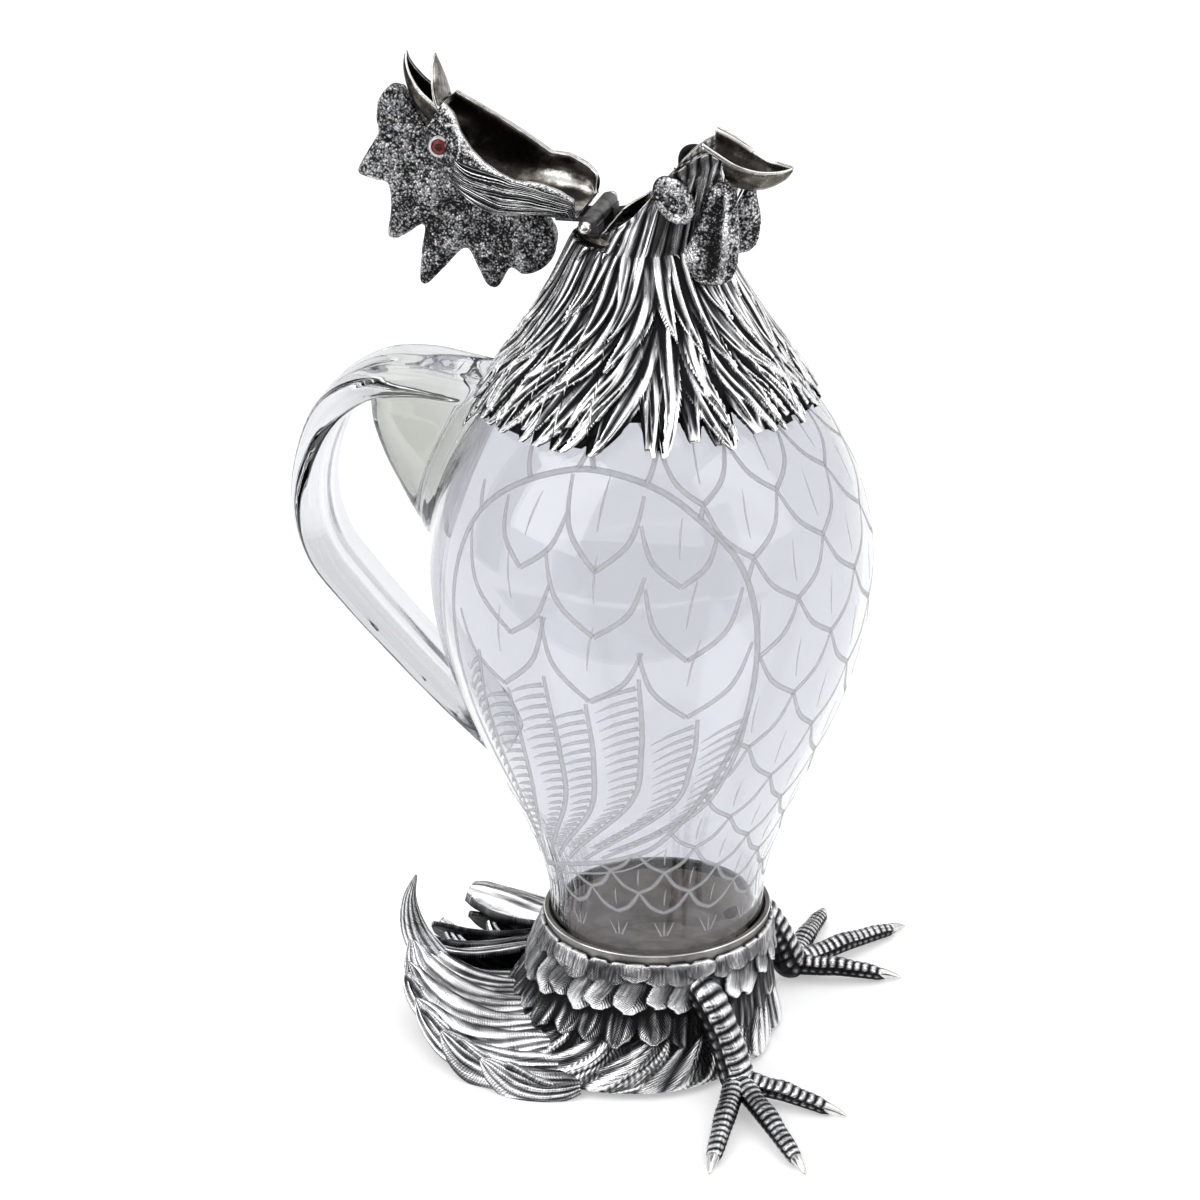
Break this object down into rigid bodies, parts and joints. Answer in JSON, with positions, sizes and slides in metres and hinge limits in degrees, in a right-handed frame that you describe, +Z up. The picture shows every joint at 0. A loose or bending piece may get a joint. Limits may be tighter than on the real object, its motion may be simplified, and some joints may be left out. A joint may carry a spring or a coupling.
{
  "type": "cockerel claret jug",
  "caption": "Claret jug in the shape of a cockerel: engraved glass body and strap handle, silver plumage, feet, tail, and a hinged head that opens as the lid.",
  "frame": {"origin": "on the axis of the glass body at the level of the table", "axes": "+X the way the bird looks, +Y its left side, +Z up"},
  "size_m": [0.1728, 0.163, 0.296],
  "materials": {
    "clear_glass": "clear blown glass with matt cut lines",
    "handle_glass": "clear glass with a faint yellow green tint in the thick",
    "ruby_glass": "polished dark red glass",
    "bright_silver": "polished silver, darkened in the hollows",
    "oxidised_silver": "cast and chased silver with black oxide in the grooves",
    "granulated_silver": "stippled silver with dark pits",
    "plaster": "matt plaster of the setting"
  },
  "bodies": {
    "jug": {"glass_body": "clear_glass", "glass_handle": "handle_glass", "base_cup": "bright_silver", "base_cement": "plaster", "base_skirt": "oxidised_silver", "base_plate": "bright_silver", "tail_feathers": "oxidised_silver", "foot_left": "oxidised_silver", "foot_right": "oxidised_silver", "neck_sleeve": "bright_silver", "neck_cement": "plaster", "hackle": "oxidised_silver", "throat": "oxidised_silver", "spout": "bright_silver", "wattle_left": "granulated_silver", "wattle_right": "granulated_silver", "earlobe_left": "granulated_silver", "earlobe_right": "granulated_silver", "hinge_ears": "bright_silver", "hinge_pin": "bright_silver"},
    "head": {"hinge_leaf": "bright_silver", "head_shell": "oxidised_silver", "comb": "granulated_silver", "upper_beak": "bright_silver", "inner_bill": "bright_silver", "eye_bezel_left": "bright_silver", "eye_bezel_right": "bright_silver", "eye_left": "ruby_glass", "eye_right": "ruby_glass"}
  },
  "joints": [
    {"name": "head_hinge", "type": "hinge", "parent": "jug", "child": "head", "pos_m": [-0.013, 0, 0.2527], "axis": [0, 1, 0], "range_deg": [0, 115]}
  ]
}
